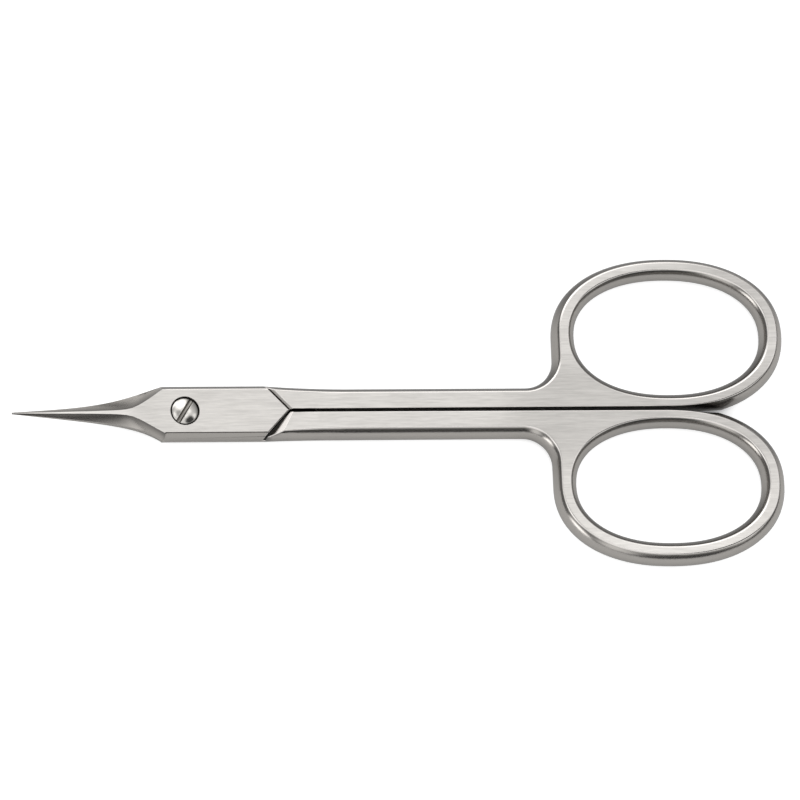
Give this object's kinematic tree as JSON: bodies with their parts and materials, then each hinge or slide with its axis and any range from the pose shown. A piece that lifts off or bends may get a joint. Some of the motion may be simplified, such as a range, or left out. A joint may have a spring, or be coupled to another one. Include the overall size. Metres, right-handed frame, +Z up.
{
  "type": "cuticle scissors",
  "caption": "Slim closed cuticle scissors of brushed steel: fine pointed blades, a slotted pivot screw and rounded finger rings.",
  "frame": {"origin": "middle of the closed scissors' footprint, on the surface they lie on", "axes": "+X from the tips towards the finger rings, +Y towards the thumb ring, +Z up out of the side that shows the screw's slot"},
  "size_m": [0.1, 0.0403, 0.0042],
  "materials": {
    "brushed_stainless": "satin, brushed lengthwise",
    "polished_stainless": "polished"
  },
  "bodies": {
    "finger_side": {"finger_half": "brushed_stainless", "pivot_screw": "polished_stainless"},
    "thumb_side": {"thumb_half": "brushed_stainless"}
  },
  "joints": [
    {"name": "pivot", "type": "hinge", "parent": "finger_side", "child": "thumb_side", "pos_m": [-0.0278, 0, 0.002], "axis": [0, 0, 1], "range_deg": [0, 60]}
  ]
}
